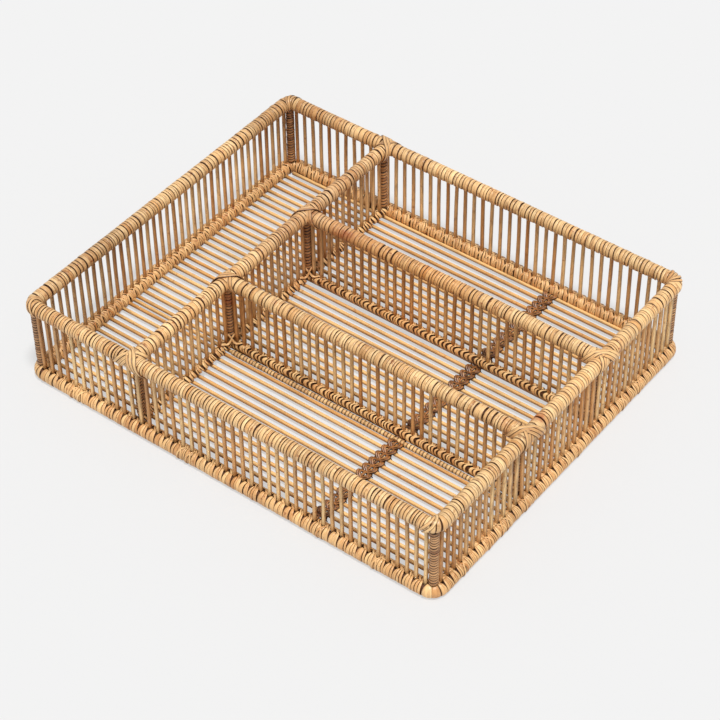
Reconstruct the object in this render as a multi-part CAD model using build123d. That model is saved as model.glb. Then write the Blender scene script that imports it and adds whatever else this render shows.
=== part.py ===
"""Rattan flatware tray with four open compartments.

A ring of wrapped rattan pole forms the rim and another forms the base border. Round reed spindles
stand between them, let into a groove under the rim and a groove in the top of the border. One
divider runs across the tray and two run from it to the right wall. Each has a wrapped rail above
and a thinner wrapped rail below, which rests on the floor rods. Wrapped posts stand in the corners
and at the divider joints. Flat cane is bound round every pole, rail, post and joint.

X runs along the tray, Y across it and Z up. The origin is the middle of the underside.
The front wall is at -Y and the cross divider is nearer the left wall, at -X.
All sizes are in millimetres.
"""
from build123d import *
import os
from math import cos, radians, sin, sqrt

# Outline, on the line of the wall spindles, and height of the rim pole's centre
FRAME_LENGTH = 400.0
FRAME_WIDTH = 331.5
RIM_HEIGHT = 76.4

# Divider lines, from the wall beside them
LEFT_BAY = 108.0
FRONT_BAY = 116.75
BACK_BAY = 111.75

# Rim and base poles, and the cane round them
POLE_DIAMETER = 9.4
RIM_CANE = 1.3
BASE_CANE = 1.35
GROOVE_DEPTH = 3.0
BASE_FLARE = 0.8
FOOT_FLAT = 0.5

# Lashings over the rim corners and the divider joints
LASHING_CANE = 0.7
LASHING_REACH = 13.0
INNER_BEND = 1.0

# Spindles
SPINDLE_DIAMETER = 3.3
FRONT_PITCH = 8.7
BACK_PITCH = 9.1
RIGHT_PITCH = 8.1
LEFT_PITCH = 8.35
DIVIDER_PITCH = 8.5
POST_SPACE = 0.65

# Rails under the dividers
BASE_RAIL_DIAMETER = 5.4
BASE_RAIL_CANE = 1.2
BASE_RAIL_GROOVE = 1.95

# Posts
POST_DIAMETER = 5.2
POST_CANE = 1.1

# Floor rods, the rod that is wound with cane, and the tie round them
FLOOR_CLEARANCE = 2.35
FLOOR_ROD_DIAMETER = 3.3
FLOOR_PITCH = 8.05
WOUND_ROD_CANE = 0.5
WOUND_ROD_GAP = 1.5
TIE_FROM_RIGHT = 115.0
TIE_WIDTH = 12.0
TIE_CANE = 1.3

# Pegs through the pole joints
PEG_DIAMETER = 2.0
PEG_LENGTH = 12.0
PEG_RAISE = 1.6

# Clearance between pieces that are bound, coped or let into each other
FIT = 0.15

# Sides of the round forms. Reeds repeat by the hundred and the poles are hidden, so they have fewer.
REED_SIDES = 6
POLE_SIDES = 8
CANE_SIDES = 12
PEG_SIDES = 4

# Corners of each quarter bend, which is drawn as short straights that touch its arc
BEND_CORNERS = 4

# Sizes that follow from the ones above
half_length = FRAME_LENGTH / 2
half_width = FRAME_WIDTH / 2
pole_radius = POLE_DIAMETER / 2
spindle_radius = SPINDLE_DIAMETER / 2
slot_half = spindle_radius + FIT

rim_radius = pole_radius + FIT + RIM_CANE
lashing_radius = rim_radius + FIT + LASHING_CANE
corner_radius = lashing_radius + INNER_BEND
corner_inset = corner_radius * (1 - 1 / sqrt(2))
spindle_top = RIM_HEIGHT - pole_radius + GROOVE_DEPTH - FIT

base_radius = pole_radius + FIT + BASE_CANE
base_level = base_radius - FOOT_FLAT
base_inner = base_radius - BASE_FLARE
wall_spindle_bottom = base_level + pole_radius - GROOVE_DEPTH + FIT

rod_radius = FLOOR_ROD_DIAMETER / 2
floor_level = FLOOR_CLEARANCE + rod_radius
floor_top = floor_level + rod_radius
floor_end = half_length - base_inner - FIT
floor_edge = half_width - base_inner - FIT

base_rail_core = BASE_RAIL_DIAMETER / 2
base_rail_radius = base_rail_core + FIT + BASE_RAIL_CANE
base_rail_level = floor_top + FIT + base_rail_radius
divider_spindle_bottom = base_rail_level + base_rail_core - BASE_RAIL_GROOVE + FIT

post_radius = POST_DIAMETER / 2
post_bound_radius = post_radius + FIT + POST_CANE
post_inset = spindle_radius + FIT + post_bound_radius
post_top = RIM_HEIGHT - lashing_radius - FIT
post_step = post_bound_radius + spindle_radius + POST_SPACE

cross_x = LEFT_BAY - half_length
front_y = FRONT_BAY - half_width
back_y = half_width - BACK_BAY
tie_x = half_length - TIE_FROM_RIGHT
wound_radius = rod_radius + FIT + WOUND_ROD_CANE
wound_y = front_y - rod_radius - WOUND_ROD_GAP - wound_radius
peg_radius = PEG_DIAMETER / 2

# Turn about Z and centre of each wall. Its inner side then faces +Y of its own frame.
WALLS = {
    "front": (0, 0, -half_width),
    "right": (90, half_length, 0),
    "back": (180, 0, half_width),
    "left": (270, -half_length, 0),
}
WALL_PITCH = {"front": FRONT_PITCH, "right": RIGHT_PITCH, "back": BACK_PITCH, "left": LEFT_PITCH}

DIVIDERS = ("cross", "front", "back")
DIVIDER_Y = {"front": front_y, "back": back_y}

# Joints of the divider rails, by the node that holds their lashings. Each has the turn and place
# where the pole that is met runs along X and the divider leaves towards +Y.
JOINTS = {
    "cross_end_lashings": [(0, cross_x, -half_width), (180, cross_x, half_width)],
    "right_end_lashings": [(90, half_length, front_y), (90, half_length, back_y)],
    "crossing_lashings": [(-90, cross_x, front_y), (-90, cross_x, back_y)],
}

CORNERS = {
    "front_left": (-1, -1),
    "front_right": (1, -1),
    "back_left": (-1, 1),
    "back_right": (1, 1),
}

# Posts at the divider joints, which all stand on the base rails
JOINT_POSTS = {
    "post_cross_front": (cross_x, -half_width + post_inset),
    "post_cross_back": (cross_x, half_width - post_inset),
    "post_right_front": (half_length - post_inset, front_y),
    "post_right_back": (half_length - post_inset, back_y),
    "post_crossing_front": (cross_x, front_y),
    "post_crossing_back": (cross_x, back_y),
}


def block(x0, x1, y0, y1, z0, z1):
    """Solid box between two corners."""
    centre = Pos((x0 + x1) / 2, (y0 + y1) / 2, (z0 + z1) / 2)
    return centre * Box(x1 - x0, y1 - y0, z1 - z0)


def round_section(radius, sides=POLE_SIDES):
    """Round section, drawn with corners that lie on the circle."""
    return RegularPolygon(radius, sides)


def upright(radius, x, y, z0, z1, sides=POLE_SIDES):
    """Round bar along Z."""
    return Pos(x, y, z0) * extrude(round_section(radius, sides), z1 - z0)


def spread(start, end, pitch):
    """Even positions from start to end, as near the pitch as they divide."""
    gaps = max(1, round((end - start) / pitch))
    return [start + (end - start) * i / gaps for i in range(gaps + 1)]


def slot_section(centre, y0, y1):
    """Section of the slot for a row of spindles."""
    return Pos(centre, (y0 + y1) / 2) * Rectangle(2 * slot_half, y1 - y0)


def rim_pole_section():
    """Round pole with the spindle groove below."""
    return round_section(pole_radius) - slot_section(0, -POLE_DIAMETER, GROOVE_DEPTH - pole_radius)


def base_pole_section():
    """Round pole with the spindle groove above, on the line of the spindles."""
    groove = slot_section(BASE_FLARE, pole_radius - GROOVE_DEPTH, POLE_DIAMETER)
    return round_section(pole_radius) - groove


def base_rail_section():
    """Thin rail with the spindle groove above."""
    bottom = base_rail_core - BASE_RAIL_GROOVE
    return round_section(base_rail_core) - slot_section(0, bottom, BASE_RAIL_DIAMETER)


def cane_section(inner, outer, slot_centre=0.0, slot_sense=-1):
    """Cane sleeve, open below or above for the spindles."""
    low, high = sorted((0, 2 * slot_sense * outer))
    ring = round_section(outer, CANE_SIDES) - round_section(inner)
    return ring - slot_section(slot_centre, low, high)


def base_cane_section():
    """Cane sleeve of the border, open above and flat below, where the tray rests."""
    sleeve = cane_section(pole_radius + FIT, base_radius, BASE_FLARE, 1)
    return sleeve - Pos(0, -base_level - base_radius) * Rectangle(4 * base_radius, 2 * base_radius)


def straight_bar(section, start, end):
    """Section drawn out along X. Its own X turns to +Y and its own Y to +Z."""
    plane = Plane(origin=(start, 0, 0), x_dir=(0, 1, 0), z_dir=(1, 0, 0))
    return extrude(plane * section, end - start)


def wall_frame(side, level):
    """Place of one wall, at a height."""
    turn, x, y = WALLS[side]
    return Pos(x, y, level) * Rot(0, 0, turn)


def wall_run(side):
    """Half the straight length of one wall, between its bends."""
    return (half_length if side in ("front", "back") else half_width) - corner_radius


def bend(x, y, radius, start, corners):
    """Corners of the short straights that touch an arc, from an angle in degrees."""
    step = 90 / BEND_CORNERS
    reach = radius / cos(radians(step / 2))
    angles = [radians(start + step * (i + 0.5)) for i in range(corners)]
    return [(x + reach * cos(angle), y + reach * sin(angle)) for angle in angles]


def bent_bar(section, side, level, offset=0.0):
    """Section swept along one wall and round half of each bend, to the mitres."""
    run = wall_run(side)
    radius = corner_radius + offset
    reach = radius / sqrt(2)
    first, last = (-run - reach, corner_radius - reach), (run + reach, corner_radius - reach)
    half = BEND_CORNERS // 2
    corners = bend(-run, corner_radius, radius, 225, half) + bend(run, corner_radius, radius, 270, half)
    path = Polyline(first, *corners, last)
    start = Plane(origin=first + (0,), x_dir=(1, 1, 0), z_dir=(1, -1, 0))
    bar = sweep(start * section, path=path, transition=Transition.RIGHT)
    return wall_frame(side, level) * bar


def wall_bar(side, radius, level, offset=0.0, sides=POLE_SIDES):
    """Plain round bar on the straight part of one wall, to cut what meets it."""
    run = wall_run(side)
    bar = straight_bar(round_section(radius, sides), -run, run)
    return wall_frame(side, level) * Pos(0, -offset, 0) * bar


def divider_frame(name, level):
    """Place of one divider, at a height. X of its own frame runs along it."""
    if name == "cross":
        return Pos(cross_x, 0, level) * Rot(0, 0, 90)
    return Pos(0, DIVIDER_Y[name], level)


def divider_span(name):
    """Ends of one divider, on the lines of what it meets."""
    if name == "cross":
        return -half_width, half_width
    return cross_x, half_length


def divider_bar(name, section, level, margin=0.0):
    """Section drawn out along one divider. The margin shortens it at the walls."""
    start, end = divider_span(name)
    if name == "cross":
        start += margin
    return divider_frame(name, level) * straight_bar(section, start, end - margin)


def met_walls(name):
    """Walls that one divider meets."""
    return ("front", "back") if name == "cross" else ("right",)


def joint_frames():
    """Place of every divider joint of the rim."""
    return [Pos(x, y, RIM_HEIGHT) * Rot(0, 0, turn)
            for places in JOINTS.values() for turn, x, y in places]


def divider_pegs(radius):
    """Pegs along the dividers, half in the rail and half in the pole that it meets."""
    start = pole_radius - PEG_LENGTH / 2
    peg = straight_bar(round_section(radius, PEG_SIDES), start, start + PEG_LENGTH)
    peg = Pos(0, 0, PEG_RAISE) * Rot(0, 0, 90) * peg
    return [frame * peg for frame in joint_frames()]


def corner_pegs(radius, inset, level):
    """Pegs square through the mitres of one ring."""
    peg = straight_bar(round_section(radius, PEG_SIDES), -PEG_LENGTH / 2, PEG_LENGTH / 2)
    return [Pos(sx * (half_length - inset), sy * (half_width - inset), level)
            * Rot(0, 0, -45 * sx * sy) * peg for sx, sy in CORNERS.values()]


def rim_corner_pegs(radius):
    """Pegs of the rim corners."""
    return corner_pegs(radius, corner_inset, RIM_HEIGHT + PEG_RAISE)


def base_corner_pegs(radius):
    """Pegs of the border corners, below the spindle groove."""
    inset = corner_radius - (corner_radius + BASE_FLARE) / sqrt(2)
    return corner_pegs(radius, inset, base_level - PEG_RAISE)


def cut_all(solid, tools):
    """Solid with each tool cut from it."""
    for tool in tools:
        solid -= tool
    return solid


def rim():
    """Rim poles, their binding and the lashings round the bends."""
    pieces = {}
    holes = rim_corner_pegs(peg_radius + FIT) + divider_pegs(peg_radius + FIT)
    inner = pole_radius + FIT
    rail_holes = [divider_bar(name, round_section(inner), RIM_HEIGHT) for name in DIVIDERS]
    for side in WALLS:
        pole = bent_bar(rim_pole_section(), side, RIM_HEIGHT)
        pieces[side + "_rim_pole"] = cut_all(pole, holes)
    for side in WALLS:
        run = wall_run(side)
        sleeve = straight_bar(cane_section(inner, rim_radius), -run, run)
        sleeve = wall_frame(side, RIM_HEIGHT) * sleeve
        pieces[side + "_rim_binding"] = cut_all(sleeve, rail_holes)
    pieces["corner_lashings"] = [corner_lashing(sx, sy) for sx, sy in CORNERS.values()]
    return pieces


def corner_lashing(sx, sy):
    """Heavier cane sleeve round one bend of the rim."""
    section = cane_section(pole_radius + FIT, lashing_radius)
    turn = {(-1, -1): 0, (1, -1): 90, (1, 1): 180, (-1, 1): 270}[(sx, sy)]
    start = Plane(origin=(-corner_radius, 0, 0), x_dir=(1, 0, 0), z_dir=(0, -1, 0))
    corners = bend(0, 0, corner_radius, 180, BEND_CORNERS)
    path = Polyline((-corner_radius, 0), *corners, (0, -corner_radius))
    sleeve = sweep(start * section, path=path, transition=Transition.RIGHT)
    place = Pos(sx * (half_length - corner_radius), sy * (half_width - corner_radius), RIM_HEIGHT)
    return place * Rot(0, 0, turn) * sleeve


def divider_rails():
    """Rails along the tops of the dividers, coped to what they meet, and their binding."""
    pieces = {}
    inner = pole_radius + FIT
    holes = divider_pegs(peg_radius + FIT)
    for name in DIVIDERS:
        rail = divider_bar(name, rim_pole_section(), RIM_HEIGHT)
        rail = cut_all(rail, [wall_bar(side, inner, RIM_HEIGHT) for side in met_walls(name)])
        if name != "cross":
            rail -= divider_bar("cross", round_section(inner), RIM_HEIGHT)
        pieces[name + "_divider_rail"] = cut_all(rail, holes)
    for name in DIVIDERS:
        cope = rim_radius + FIT
        sleeve = divider_bar(name, cane_section(inner, rim_radius), RIM_HEIGHT)
        copes = [wall_bar(side, cope, RIM_HEIGHT, 0, CANE_SIDES) for side in met_walls(name)]
        sleeve = cut_all(sleeve, copes)
        if name == "cross":
            branches = [divider_bar(branch, round_section(inner), RIM_HEIGHT) for branch in DIVIDER_Y]
            sleeve = cut_all(sleeve, branches)
        else:
            sleeve -= divider_bar("cross", round_section(cope, CANE_SIDES), RIM_HEIGHT)
        pieces[name + "_divider_binding"] = sleeve
    return pieces


def tee(radius):
    """Two equal round bars that meet in a T: one along X, the other towards +Y."""
    section = round_section(radius, CANE_SIDES)
    along = straight_bar(section, -LASHING_REACH, LASHING_REACH)
    return along + Rot(0, 0, 90) * straight_bar(section, 0, LASHING_REACH)


def joint_lashings():
    """Cane saddles over the divider joints, open below for the spindles."""
    depth = 2 * lashing_radius
    saddle = tee(lashing_radius) - tee(rim_radius + FIT)
    saddle -= block(-LASHING_REACH, LASHING_REACH, -slot_half, slot_half, -depth, 0)
    saddle -= block(-slot_half, slot_half, 0, LASHING_REACH, -depth, 0)
    pieces = {}
    for name, places in JOINTS.items():
        frames = [Pos(x, y, RIM_HEIGHT) * Rot(0, 0, turn) for turn, x, y in places]
        pieces[name] = [frame * saddle for frame in frames]
    return pieces


def spindle(x, y, bottom):
    """One round reed, from the groove below it to the groove under the rim."""
    return upright(spindle_radius, x, y, bottom, spindle_top, REED_SIDES)


def wall_spindles(side):
    """Spindles of one wall, on its straight part."""
    run = wall_run(side)
    turn, x0, y0 = WALLS[side]
    steps = spread(-run, run, WALL_PITCH[side])
    along_x = side in ("front", "back")
    places = [(step, y0) if along_x else (x0, step) for step in steps]
    return [spindle(x, y, wall_spindle_bottom) for x, y in places]


def divider_spindles(name):
    """Spindles of one divider, in the stretches between its posts."""
    if name == "cross":
        wall_post = half_width - post_inset
        posts = [-wall_post, front_y, back_y, wall_post]
    else:
        posts = [cross_x, half_length - post_inset]
    solids = []
    for low, high in zip(posts, posts[1:]):
        for step in spread(low + post_step, high - post_step, DIVIDER_PITCH):
            x, y = (cross_x, step) if name == "cross" else (step, DIVIDER_Y[name])
            solids.append(spindle(x, y, divider_spindle_bottom))
    return solids


def base_border():
    """Base poles and their binding."""
    pieces = {}
    holes = base_corner_pegs(peg_radius + FIT)
    for side in WALLS:
        pole = bent_bar(base_pole_section(), side, base_level, BASE_FLARE)
        pieces[side + "_base_pole"] = cut_all(pole, holes)
    for side in WALLS:
        sleeve = bent_bar(base_cane_section(), side, base_level, BASE_FLARE)
        pieces[side + "_base_binding"] = sleeve
    return pieces


def base_rails():
    """Rails under the dividers, coped to the border and to each other, and their binding."""
    pieces = {}
    margin = slot_half + FIT
    border = base_radius + FIT
    for name in DIVIDERS:
        copes = [wall_bar(side, border, base_level, BASE_FLARE, CANE_SIDES) for side in met_walls(name)]
        if name != "cross":
            reach = round_section(base_rail_radius + FIT, CANE_SIDES)
            copes.append(divider_bar("cross", reach, base_rail_level))
        rail = divider_bar(name, base_rail_section(), base_rail_level, margin)
        pieces[name + "_base_rail"] = cut_all(rail, copes)
        section = cane_section(base_rail_core + FIT, base_rail_radius, 0, 1)
        sleeve = divider_bar(name, section, base_rail_level, margin)
        pieces[name + "_base_rail_binding"] = cut_all(sleeve, copes)
    return pieces


def bound_post(x, y, bottom):
    """One post and the cane sleeve round it."""
    core = upright(post_radius, x, y, bottom, post_top)
    sleeve = upright(post_bound_radius, x, y, bottom, post_top, CANE_SIDES)
    return core, sleeve - upright(post_radius + FIT, x, y, bottom, post_top)


def posts():
    """Corner posts, which stand on the border, and joint posts, which stand on the base rails."""
    pieces = {}
    corner_sleeves = []
    for name, (sx, sy) in CORNERS.items():
        x = sx * (half_length - corner_inset)
        y = sy * (half_width - corner_inset)
        core, sleeve = bound_post(x, y, base_level + base_radius + FIT)
        pieces["post_" + name] = core
        corner_sleeves.append(sleeve)
    joint_sleeves = []
    for name, (x, y) in JOINT_POSTS.items():
        core, sleeve = bound_post(x, y, base_rail_level + base_rail_radius + FIT)
        pieces[name] = core
        joint_sleeves.append(sleeve)
    pieces["corner_post_bindings"] = corner_sleeves
    pieces["joint_post_bindings"] = joint_sleeves
    return pieces


def floor_rod(radius, start, end, y, sides=REED_SIDES):
    """One floor rod, or the cane round it."""
    return Pos(0, y, floor_level) * straight_bar(round_section(radius, sides), start, end)


def floor_rows():
    """Y positions of the bare floor rods. One lies under each long divider."""
    edge = floor_edge - rod_radius
    beside_wound = wound_y - wound_radius - WOUND_ROD_GAP - rod_radius
    rows = spread(-edge, beside_wound, FLOOR_PITCH)
    rows += spread(front_y, back_y, FLOOR_PITCH)
    rows += spread(back_y, edge, FLOOR_PITCH)[1:]
    return rows


def floor():
    """Floor rods and the one that is wound with cane."""
    bend_start = half_width - corner_radius
    rods = []
    for y in floor_rows():
        end = half_length - corner_radius if abs(y) + rod_radius > bend_start else floor_end
        rods.append(floor_rod(rod_radius, -end, end, y))
    start = cross_x + base_rail_radius + FIT
    winding = floor_rod(wound_radius, start, floor_end, wound_y)
    winding -= floor_rod(rod_radius + FIT, start, floor_end, wound_y)
    return {
        "floor_rods": rods,
        "wound_floor_rod": floor_rod(rod_radius, -floor_end, floor_end, wound_y),
        "wound_rod_binding": winding,
    }


def floor_ties():
    """Flat tie over and under the floor rods, broken by the wound rod and the base rails."""
    x0, x1 = tie_x - TIE_WIDTH / 2, tie_x + TIE_WIDTH / 2
    wound_low = wound_y - wound_radius - FIT
    wound_high = wound_y + wound_radius + FIT
    rail_reach = base_rail_radius + FIT
    over = [(-floor_edge, wound_low),
            (front_y + rail_reach, back_y - rail_reach),
            (back_y + rail_reach, floor_edge)]
    under = [(-floor_edge, wound_low), (wound_high, floor_edge)]
    upper = floor_top + FIT
    lower = FLOOR_CLEARANCE - FIT
    return {
        "floor_tie_upper": [block(x0, x1, y0, y1, upper, upper + TIE_CANE) for y0, y1 in over],
        "floor_tie_lower": [block(x0, x1, y0, y1, lower - TIE_CANE, lower) for y0, y1 in under],
    }


def tray():
    """All pieces of the tray by name."""
    pieces = {}
    pieces.update(rim())
    pieces.update(divider_rails())
    pieces.update(joint_lashings())
    pieces["rim_corner_pegs"] = rim_corner_pegs(peg_radius)
    pieces["base_corner_pegs"] = base_corner_pegs(peg_radius)
    pieces["divider_pegs"] = divider_pegs(peg_radius)
    for side in WALLS:
        pieces[side + "_wall_spindles"] = wall_spindles(side)
    for name in DIVIDERS:
        pieces[name + "_divider_spindles"] = divider_spindles(name)
    pieces.update(base_border())
    pieces.update(base_rails())
    pieces.update(posts())
    pieces.update(floor())
    pieces.update(floor_ties())
    return pieces


def solids_of(piece):
    """Flat list of the solids in a piece or a list of pieces."""
    if isinstance(piece, list):
        return [solid for item in piece for solid in solids_of(item)]
    return list(piece.solids())


os.makedirs("parts", exist_ok=True)
for node, piece in tray().items():
    solids = solids_of(piece)
    shape = solids[0] if len(solids) == 1 else Compound(children=solids)
    shape.label = node
    export_step(shape, "parts/" + node + ".step")
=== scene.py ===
"""Looks of the rattan flatware tray: every turn of cane, every reed, and the light and camera.

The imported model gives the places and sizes. Flat cane is wound turn by turn round the poles, rails
and posts, and passes between the spindles where they enter. Reeds get their slight bends. Lengths
are in millimetres until a mesh is made, which is in metres.
"""
import math
from typing import NamedTuple

import bpy
import numpy as np
from mathutils import Matrix, Vector


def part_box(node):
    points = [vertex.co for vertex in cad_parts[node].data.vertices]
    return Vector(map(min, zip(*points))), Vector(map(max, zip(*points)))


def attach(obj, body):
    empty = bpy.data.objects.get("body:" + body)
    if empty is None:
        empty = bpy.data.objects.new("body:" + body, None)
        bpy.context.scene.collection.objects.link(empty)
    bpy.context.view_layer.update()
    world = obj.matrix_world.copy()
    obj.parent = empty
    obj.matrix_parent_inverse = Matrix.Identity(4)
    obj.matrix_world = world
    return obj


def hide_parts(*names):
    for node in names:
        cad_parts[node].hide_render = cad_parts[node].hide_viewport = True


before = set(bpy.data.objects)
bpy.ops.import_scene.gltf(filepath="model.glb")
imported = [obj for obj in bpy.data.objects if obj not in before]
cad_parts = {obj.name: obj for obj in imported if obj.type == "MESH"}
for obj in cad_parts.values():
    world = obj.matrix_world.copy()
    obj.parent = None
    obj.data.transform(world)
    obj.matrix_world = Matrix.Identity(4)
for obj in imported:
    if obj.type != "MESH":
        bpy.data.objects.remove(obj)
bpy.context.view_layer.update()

MM = 0.001
rng = np.random.default_rng(7)

# Walls in the order in which a ring of cane passes them, dividers, and the axis that each runs along
WALLS = ("front", "right", "back", "left")
DIVIDERS = ("cross", "front", "back")
RUNS_ALONG = {"front": 0, "right": 1, "back": 0, "left": 1, "cross": 1}

# Camera, as fitted to the photograph: place, angles in degrees, lens and sensor, and the farthest
# that it sees in metres
CAMERA_PLACE = (849.5, -1085.9, 1321.0)
CAMERA_AZIMUTH = 127.901
CAMERA_DIP = 43.714
CAMERA_ROLL = -0.805
CAMERA_LENS = 116.05
CAMERA_SENSOR = 36.0
CAMERA_FARTHEST = 20.0

# Light, and the paper that the tray stands on, with its half side and its level in metres
SKY_STRENGTH = 0.5
SUN_STRENGTH = 2.55
SUN_DIRECTION = (-0.24, 0.16, -0.96)
SUN_ANGLE = 10.0
BACKGROUND = 0.887
PAPER_WHITE = 0.715
PAPER_GLOW = 0.62
PAPER_HALF = 6.0
PAPER_LEVEL = -0.0002

# Cane round the poles, rails and posts: radius over the cane, and its thickness
RIM_RADIUS = 6.15
BASE_RADIUS = 6.2
POLE_CANE = 1.3
RAIL_RADIUS = 4.05
RAIL_CANE = 1.2
POST_RADIUS = 3.85
POST_CANE = 1.1
WOUND_RADIUS = 2.3
WOUND_CANE = 0.5

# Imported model: radius of the base poles and of the reeds, how far the posts at the right wall stand
# inside its middle line, and the gap that tells two bars of a node apart
BASE_POLE_RADIUS = 4.7
REED_RADIUS = 1.65
POST_INSET = 5.65
BAR_GAP = 2.5

# Reeds: sides, points along them, how far they bend, and how their thickness varies between reeds
# and along each
REED_SIDES = 14
SPINDLE_STEPS = 7
SPINDLE_BEND = 0.16
FLOOR_STEPS = 24
FLOOR_BEND = 0.3
REED_SPREAD = 0.02
REED_UNEVEN = 0.012

# Section of a flat cane: place across its width, and height as a share of its thickness
CANE_ACROSS = np.array([-0.5, -0.47, -0.32, 0.0, 0.32, 0.47, 0.5])
CANE_HEIGHT = np.array([0.3, 0.74, 0.94, 1.0, 0.94, 0.74, 0.3])

# One turn: points round it, how soon it reaches its full width beyond the spindles, and the length
# of strand over which its grain may begin
TURN_STEPS = 27
WIDENING = 3.0
STRAND_LENGTH = 500.0

# Points round a ring among which the one beside a spindle is looked for
RING_POINTS = 6000

# Tone of a strand, from 0 for the darker colour to 1 for the lighter
TONE_MIDDLE = 0.64
TONE_SPREAD = 0.22


class Winding(NamedTuple):
    """How cane lies between spindles.

    turns: how many there may be between two spindles that stand USUAL_PITCH apart
    slant: how far a turn leans along the pole
    gaps: share of the turns that leave a gap beside them
    loose: how unevenly they lie, from 0 to 1
    fill: width of a turn as a share of its room
    crossed: share of the spindles with two crossed turns at the foot
    """

    turns: tuple
    slant: float
    gaps: float
    loose: float
    fill: float
    crossed: float = 0.0


RIM_WINDING = {
    "front": Winding(turns=(3,), slant=1.2, gaps=0.24, loose=0.17, fill=1.0),
    "right": Winding(turns=(2, 2, 3), slant=0.8, gaps=0.05, loose=0.17, fill=1.04),
    "back": Winding(turns=(2, 3, 3), slant=1.0, gaps=0.08, loose=0.17, fill=1.04),
    "left": Winding(turns=(2, 3, 2), slant=1.0, gaps=0.14, loose=0.17, fill=1.0),
}
BASE_WINDING = {
    "front": Winding(turns=(2, 3, 3), slant=0.8, gaps=0.1, loose=0.2, fill=1.08, crossed=0.12),
    "right": Winding(turns=(4, 4, 5), slant=2.0, gaps=0.1, loose=0.2, fill=1.08, crossed=0.05),
    "back": Winding(turns=(2, 3, 3), slant=1.0, gaps=0.1, loose=0.2, fill=1.05, crossed=1.0),
    "left": Winding(turns=(2, 3, 3), slant=1.0, gaps=0.1, loose=0.2, fill=1.05, crossed=1.0),
}
DIVIDER_WINDING = {
    "cross": Winding(turns=(2, 3), slant=1.0, gaps=0.16, loose=0.17, fill=1.0),
    "front": Winding(turns=(2, 3, 3), slant=1.0, gaps=0.16, loose=0.17, fill=1.05),
    "back": Winding(turns=(2, 3), slant=1.0, gaps=0.16, loose=0.17, fill=1.05),
}
RAIL_WINDING = Winding(turns=(2, 2, 3), slant=5.5, gaps=0.16, loose=0.5, fill=0.78)

# Bare length that the winding leaves at each end of a divider rail and of a base rail
DIVIDER_MARGIN = RIM_RADIUS * 0.5
RAIL_MARGIN = 5.0

# Pitch of the spindles for which numbers of turns are given, and the least room between two of them
USUAL_PITCH = 8.6
LEAST_ROOM = 0.5

# Unevenness of the turns between spindles, as shares of a turn's room, and of their lean in
# millimetres. The last turn before a stop ends LAST_STEP of a room further on.
EDGE_SPREAD = 0.16
WIDTH_SPREAD = 0.025
GAP_WIDTH = (0.08, 0.26)
PLACE_SPREAD = 0.03
LOOSE_PLACE = 0.15
LOOSE_WIDTH = 0.35
LEAN_SPREAD = 0.5
LAST_STEP = 0.6

# Two turns that cross at the foot of a spindle: thickness, lift and width, and, as shares of the
# width, how wide they are beside the spindle and how far they cross
CROSSING_CANE = 0.8
CROSSING_LIFT = 0.4
CROSSING_WIDTH = 2.1
CROSSING_NECK = 0.8
CROSSING_REACH = (0.8, 1.4)

# Close turns round posts and the wound rod: pitch, how far they lift, and, as shares of the pitch,
# their width, where they begin, and how far they have climbed at the far side and at the end
POST_PITCH = {"corner": 2.7, "joint": 3.3}
POST_UNEVEN = 0.15
WOUND_PITCH = 3.2
WOUND_UNEVEN = 0.12
CLOSE_WIDTH = (0.86, 1.0)
CLOSE_START = (0.42, 0.58)
CLOSE_CLIMB = (0.35, 0.8)

# Strands laid over the rim, at the divider joints and the corners
STRAND_CANE = 0.85
STRAND_STEPS = 6

# Crossed cane over the divider joints. Each strand comes from the outer side of the pole, goes over
# the top, and ends at the side of the divider. Angles are in degrees from the top of the pole.
JOINT_STRANDS = 3
JOINT_WIDTH = 3.0
JOINT_PITCH = 3.36
JOINT_SPREAD = 0.25
JOINT_ANGLES = (-150, -120, -90, -62, -36, -14)
JOINT_ADVANCE = 0.75
JOINT_SINK = 0.2
JOINT_LAYER = 0.75
JOINT_LIFT = 0.3

# Strands over the rim corners: corner, number, and the way that they cross. Each sweeps round the
# pole to both sides of its top while it runs along the rim.
CORNER_STRANDS = (((1, -1), 2, 1), ((1, 1), 4, -1), ((-1, 1), 3, 1), ((-1, -1), 2, -1))
CORNER_WIDTH = 2.6
CORNER_PITCH = 2.99
CORNER_POINTS = 9
CORNER_STEPS = 4
CORNER_SWEEP = 125
CORNER_RUN = 7.0
CORNER_RUN_SPREAD = 1.0
CORNER_SINK = 0.35
CORNER_LAYER = 0.5
CORNER_LIFT = 0.2

# Cane at the foot of an inner post, from beside the post down across the base rail. Each point has
# its place along the rail, beside it and over it, and how far the cane faces sideways and up. The
# points on the post are higher or lower by chance.
FOOT_POINTS = (
    (-2.0, 4.05, 7.0, 1.0, 0.2),
    (3.0, 4.05, 5.0, 1.0, 0.5),
    (8.0, 3.5, -0.1, 0.6, 1.0),
    (13.0, 1.0, 0.8, 0.0, 1.0),
    (16.0, -3.5, -2.2, -1.0, 0.6),
)
FOOT_ON_POST = 2
FOOT_DROP = 1.2
FOOT_WIDTH = 2.0
FOOT_CANE = 0.9

# Floor tie: paired strands that cross from side to side between two rods, and lie over each rod
TIE_STEPS = 5
TIE_MARGIN = 1.5
TIE_SINK = 0.9
TIE_LOWEST = 0.3
TIE_PAIR = (-1.1, 1.1)
TIE_OVER_ROD = 1.2
TIE_LIFT = 0.35
TIE_CROSSING = 0.8
TIE_WIDTH = 2.1
TIE_CANE = 0.75

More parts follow.
